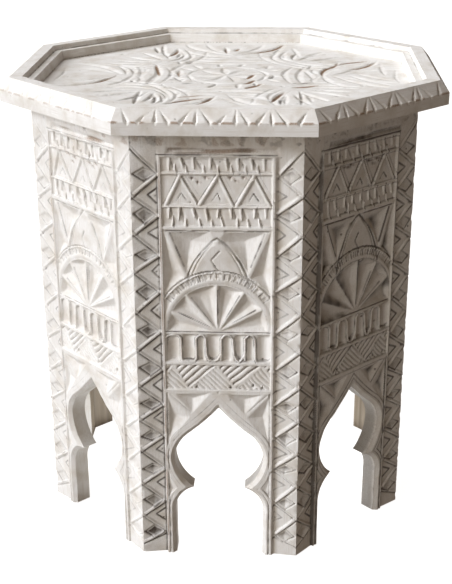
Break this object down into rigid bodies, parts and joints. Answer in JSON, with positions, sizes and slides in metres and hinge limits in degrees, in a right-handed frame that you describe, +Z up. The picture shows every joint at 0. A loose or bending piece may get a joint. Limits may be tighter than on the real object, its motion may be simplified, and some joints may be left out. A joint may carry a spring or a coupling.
{
  "type": "carved side table",
  "caption": "Octagonal carved wooden side table with a moulded tray top on a base of arched, chip-carved boards in a worn white finish",
  "frame": {"origin": "on the floor under the middle of the table", "axes": "+Z up; the front board faces -Y; +X is to the right seen from the front"},
  "size_m": [0.46, 0.46, 0.5],
  "materials": {
    "painted_wood": "worn white paint over carved hardwood, brown where rubbed, matt",
    "bare_wood": "unpainted sawn hardwood, matt",
    "nail_iron": "dark, lightly rusted cut iron"
  },
  "bodies": {
    "root": {"side_board_front": "painted_wood", "side_board_front_right": "painted_wood", "side_board_right": "painted_wood", "side_board_back_right": "painted_wood", "side_board_back": "painted_wood", "side_board_back_left": "painted_wood", "side_board_left": "painted_wood", "side_board_front_left": "painted_wood", "rim_front": "painted_wood", "rim_front_right": "painted_wood", "rim_right": "painted_wood", "rim_back_right": "painted_wood", "rim_back": "painted_wood", "rim_back_left": "painted_wood", "rim_left": "painted_wood", "rim_front_left": "painted_wood", "tray_board": "painted_wood", "corner_block_right_of_front": "bare_wood", "corner_block_front_of_right": "bare_wood", "corner_block_back_of_right": "bare_wood", "corner_block_right_of_back": "bare_wood", "corner_block_left_of_back": "bare_wood", "corner_block_back_of_left": "bare_wood", "corner_block_front_of_left": "bare_wood", "corner_block_left_of_front": "bare_wood", "batten_right": "bare_wood", "batten_left": "bare_wood", "batten_nails": "nail_iron"}
  },
  "joints": []
}
